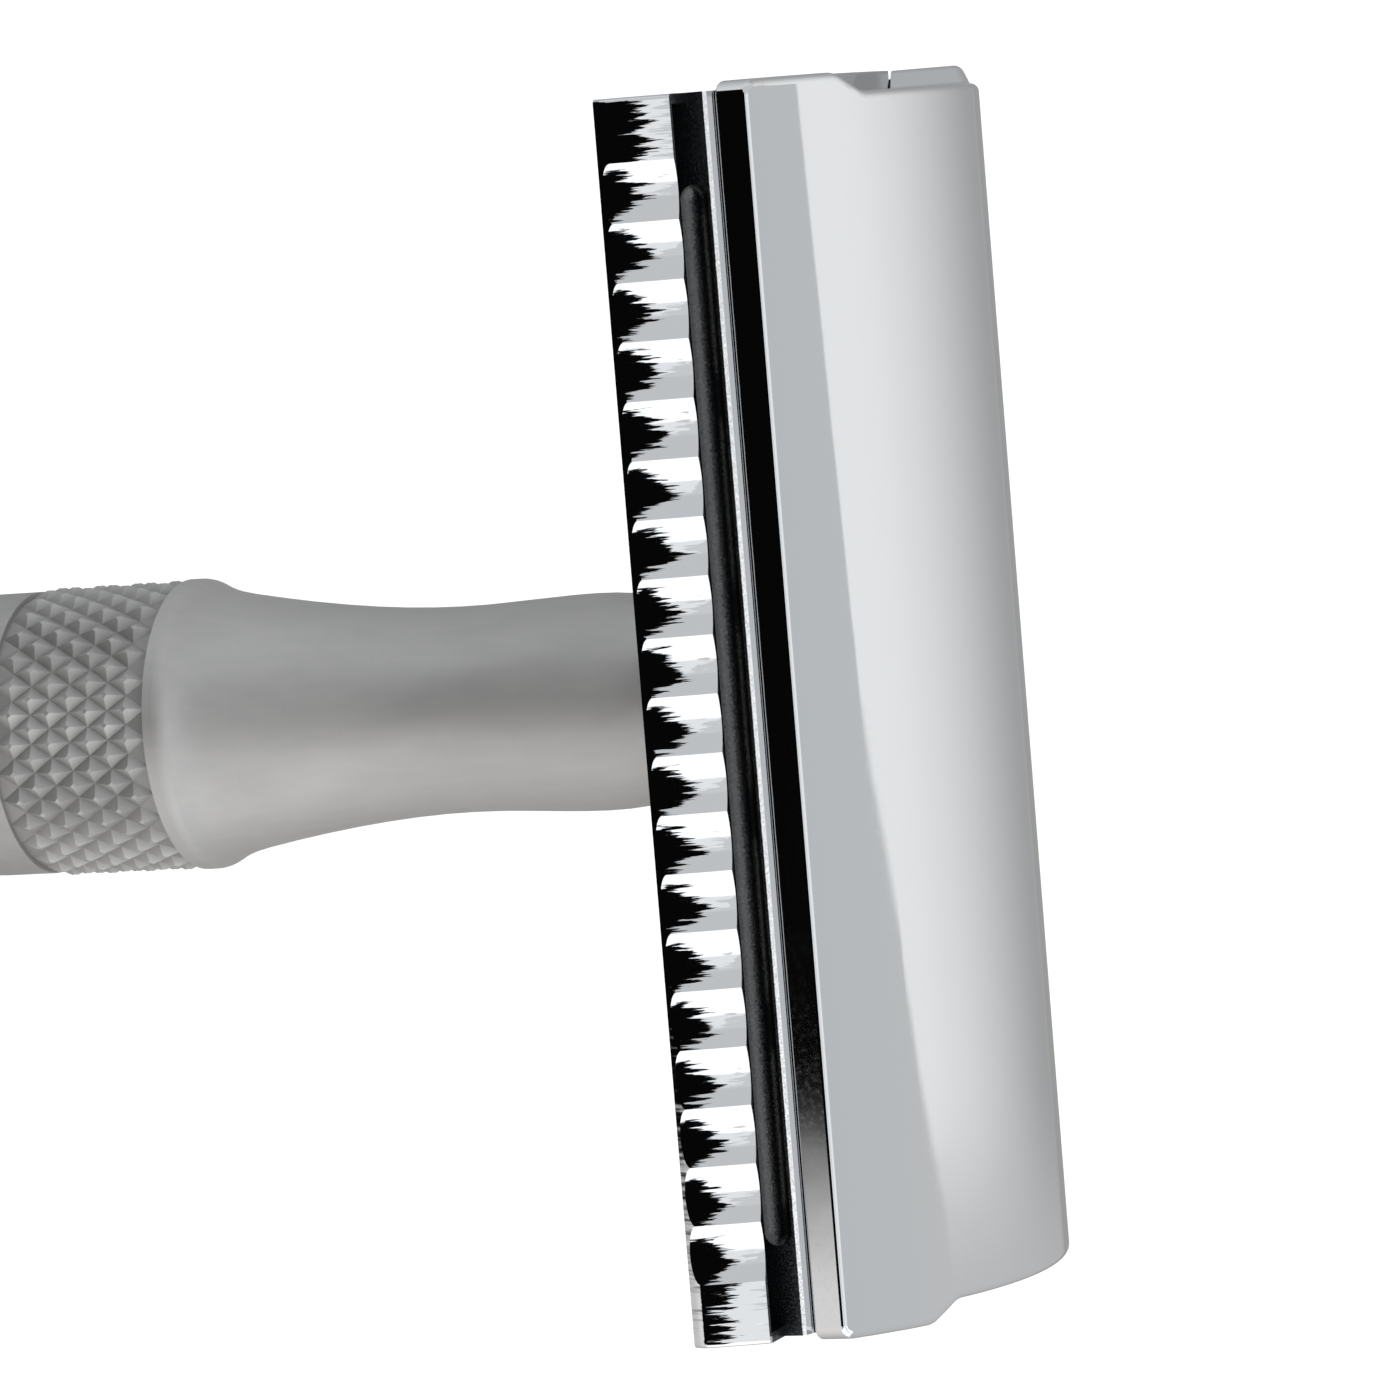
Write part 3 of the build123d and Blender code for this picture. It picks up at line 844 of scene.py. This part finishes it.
def add_right_panel(graph, colour, x, y, z):
    """Window-like panel at the +X side, down to the horizon."""
    panel = graph.both(
        graph.step(x, 0.10, 0.16), graph.step(z, -0.17, -0.07), graph.step(y, 0.35, 0.15)
    )
    return graph.mix(panel, colour, (1.15, 1.15, 1.15))


def add_front_panel(graph, colour, x, y, z):
    """Panel on the camera's side: grey at -X, light ahead, bright at +X, with a dim band high up."""
    ahead = graph.step(x, -0.16, -0.04, low=0.60, high=0.88)
    bright_end = graph.step(x, 0.15, 0.20, low=0.60, high=1.25)
    # The band's lower edge climbs towards +X
    rise = graph.math("SUBTRACT", z, graph.both(graph.math("MAXIMUM", x, 0.0), 0.14))
    band = graph.both(graph.step(rise, 0.355, 0.385), graph.step(z, 0.60, 0.52))
    brightest = graph.step(band, 0.0, 1.0, low=2.0, high=0.66)
    tone = graph.math("MINIMUM", graph.math("MAXIMUM", ahead, bright_end), brightest)
    panel = graph.both(
        graph.step(z, -0.05, 0.05), graph.step(x, -0.75, -0.65), graph.step(y, 0.05, -0.05)
    )
    return graph.mix(panel, colour, graph.vector("SCALE", (0.98, 1.0, 1.02), tone))


def add_camera_gap(graph, colour, x, y, z):
    """Dark gap where the camera stands, down to the floor, with a ridged top and a leaning +X side."""
    top = graph.math("MINIMUM", graph.line(x, -0.3, 0.29), graph.line(x, 0.53, 0.364))
    lean = graph.both(graph.math("MAXIMUM", graph.math("ADD", z, 0.3), 0.0), 0.9)
    gap = graph.both(
        graph.step(graph.math("SUBTRACT", z, top), 0.010, -0.010),
        graph.step(x, -0.62, -0.55),
        graph.step(graph.math("SUBTRACT", x, lean), 0.155, 0.125),
        graph.step(y, 0.25, 0.05),
    )
    return graph.mix(gap, colour, (0.002, 0.002, 0.002))


def add_ceiling(graph, colour, x, y, z):
    """Grey ceiling from in front of the zenith back to the horizon, and a large soft box on it."""
    in_front = graph.math("ARCTAN2", graph.math("MULTIPLY", y, -1.0), z)
    ceiling = graph.both(
        graph.step(in_front, math.radians(29.5), math.radians(26.5)), graph.step(z, 0.0, 0.1)
    )
    grey = graph.scale(z, 0.0, 1.0, low=0.47, high=0.56)
    tint = graph.mix(graph.step(y, -0.5, 0.5), (0.96, 1.0, 1.03), (1.0, 1.0, 1.0))
    colour = graph.mix(ceiling, colour, graph.vector("SCALE", tint, grey))
    # The box's +X edge is two straight lines on a flat ceiling, which meet near the zenith
    above = graph.math("MAXIMUM", z, 0.05)
    over_x = graph.math("DIVIDE", x, above)
    over_y = graph.math("DIVIDE", y, above)
    edge = graph.math("MINIMUM", graph.line(over_y, 0.258, 0.0937), graph.line(over_y, 0.92, 0.137))
    box = graph.both(
        ceiling,
        graph.step(graph.math("SUBTRACT", over_x, edge), 0.006, -0.006),
        graph.step(x, 0.155, 0.125),
    )
    bright = graph.line(graph.both(z, z), 0.52, 0.36)
    return graph.mix(box, colour, graph.vector("SCALE", (1.0, 1.01, 1.02), bright))


def studio_light(world):
    """Paint the studio round the razor, for all but the camera itself, which sees plain white."""
    world.use_nodes = True
    graph = Graph(world.node_tree)
    x, y, z = graph.split(graph.node("ShaderNodeTexCoord").outputs["Generated"])
    colour = wall_colour(graph, x, y)
    for add_zone in (add_right_panel, add_front_panel, add_camera_gap, add_ceiling):
        colour = add_zone(graph, colour, x, y, z)
    swap = graph.node("ShaderNodeMixShader")
    graph.feed(swap.inputs[0], graph.node("ShaderNodeLightPath").outputs["Is Camera Ray"])
    graph.feed(swap.inputs[1], graph.background(colour))
    graph.feed(swap.inputs[2], graph.background((1.0, 1.0, 1.0, 1.0)))
    output = graph.node("ShaderNodeOutputWorld")
    graph.feed(output.inputs["Surface"], swap.outputs[0])


def add_camera(scene, settings):
    """Stand the camera at its place and turn it to its view."""
    right = Vector(settings.picture_right).normalized()
    forward = Vector(settings.view_direction).normalized()
    turn = Matrix((right, right.cross(forward), -forward)).transposed()
    data = bpy.data.cameras.new("camera")
    data.sensor_width = settings.sensor_width
    data.lens = settings.lens
    data.clip_start = 10 * MM
    camera = bpy.data.objects.new("camera", data)
    scene.collection.objects.link(camera)
    camera.matrix_world = Matrix.Translation(settings.camera_place) @ turn.to_4x4()
    scene.camera = camera


def add_floor(settings):
    """Lay the floor, which the plating doesn't mirror."""
    clear_selection()
    bpy.ops.mesh.primitive_plane_add(size=settings.floor_size, location=(0, 0, 0))
    floor = bpy.context.object
    floor.name = "floor"
    floor.data.materials.append(floor_material(settings))
    floor.visible_glossy = False


def add_key_light(scene, settings):
    """Hang one soft light from above, for the floor and its shadows."""
    data = bpy.data.lights.new("key", "SUN")
    data.energy = settings.key_strength
    data.angle = settings.key_softness
    key = bpy.data.objects.new("key", data)
    key.rotation_euler = settings.key_lean
    key.visible_glossy = False
    scene.collection.objects.link(key)


class RAZOR_OT_stage(bpy.types.Operator):
    """Set up the camera, the floor and the studio light"""

    bl_idname = "razor.stage"
    bl_label = "Stage"

    def execute(self, context):
        scene = context.scene
        settings = scene.razor_stage
        add_camera(scene, settings)
        add_floor(settings)
        add_key_light(scene, settings)
        scene.world = bpy.data.worlds.new("studio")
        studio_light(scene.world)
        scene.view_settings.view_transform = "Standard"
        scene.view_settings.look = "None"
        return {"FINISHED"}


# ---------------------------------------------------------------- panel and registration

OPERATORS = (
    RAZOR_OT_grip_sleeve,
    RAZOR_OT_twist_knob,
    RAZOR_OT_head,
    RAZOR_OT_neck,
    RAZOR_OT_works,
    RAZOR_OT_stage,
)
SETTINGS = {
    "razor_handle": RazorHandleSettings,
    "razor_knob": RazorKnobSettings,
    "razor_finish": RazorFinishSettings,
    "razor_stage": RazorStageSettings,
}


class RAZOR_PT_panel(bpy.types.Panel):
    """Buttons and settings for the razor"""

    bl_idname = "RAZOR_PT_panel"
    bl_label = "Safety Razor"
    bl_space_type = "VIEW_3D"
    bl_region_type = "UI"
    bl_category = "Razor"

    def draw(self, context):
        for operator in OPERATORS:
            self.layout.operator(operator.bl_idname)
        for name, group in SETTINGS.items():
            box = self.layout.box()
            box.label(text=group.__doc__)
            for setting in group.__annotations__:
                box.prop(getattr(context.scene, name), setting)


def register():
    """Register the settings, the operators and the panel."""
    for name, group in SETTINGS.items():
        bpy.utils.register_class(group)
        setattr(bpy.types.Scene, name, bpy.props.PointerProperty(type=group))
    for operator in OPERATORS:
        bpy.utils.register_class(operator)
    bpy.utils.register_class(RAZOR_PT_panel)


def unregister():
    """Remove what register added."""
    bpy.utils.unregister_class(RAZOR_PT_panel)
    for operator in reversed(OPERATORS):
        bpy.utils.unregister_class(operator)
    for name, group in SETTINGS.items():
        delattr(bpy.types.Scene, name)
        bpy.utils.unregister_class(group)


def main():
    """Build every piece in order."""
    register()
    bpy.ops.razor.grip_sleeve()
    bpy.ops.razor.twist_knob()
    bpy.ops.razor.head()
    bpy.ops.razor.neck()
    bpy.ops.razor.works()
    bpy.ops.razor.stage()


if __name__ == "__main__":
    main()
